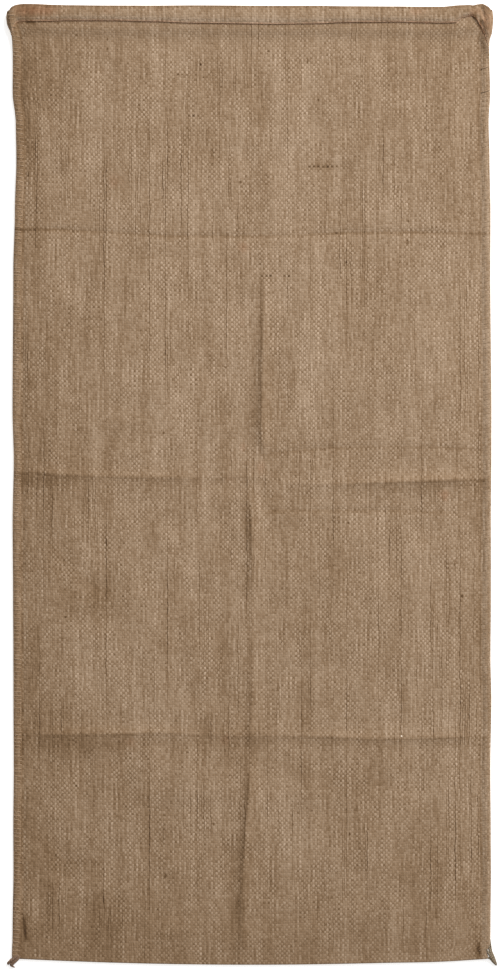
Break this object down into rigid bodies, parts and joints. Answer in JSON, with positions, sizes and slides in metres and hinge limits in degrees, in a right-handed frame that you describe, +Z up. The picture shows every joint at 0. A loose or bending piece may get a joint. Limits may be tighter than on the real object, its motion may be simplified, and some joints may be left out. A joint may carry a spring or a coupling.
{
  "type": "jute sack",
  "caption": "Empty hessian sack lying flat, folded across the bottom, overcast down both sides, with a turned hem round its open mouth and loose twine ends at the bottom corners.",
  "frame": {"origin": "middle of the sack's outline, on the surface that it lies on", "axes": "+X across the sack, +Y from the bottom fold to the mouth, +Z up from the surface through both layers"},
  "size_m": [0.5129, 1.0081, 0.0076],
  "materials": {
    "hessian": "undyed plain-weave jute, matt",
    "jute_twine": "twisted jute sewing twine, hairy, matt"
  },
  "bodies": {
    "root": {"sack_cloth": "hessian", "twine_end_left": "jute_twine", "twine_end_right": "jute_twine"}
  },
  "joints": []
}
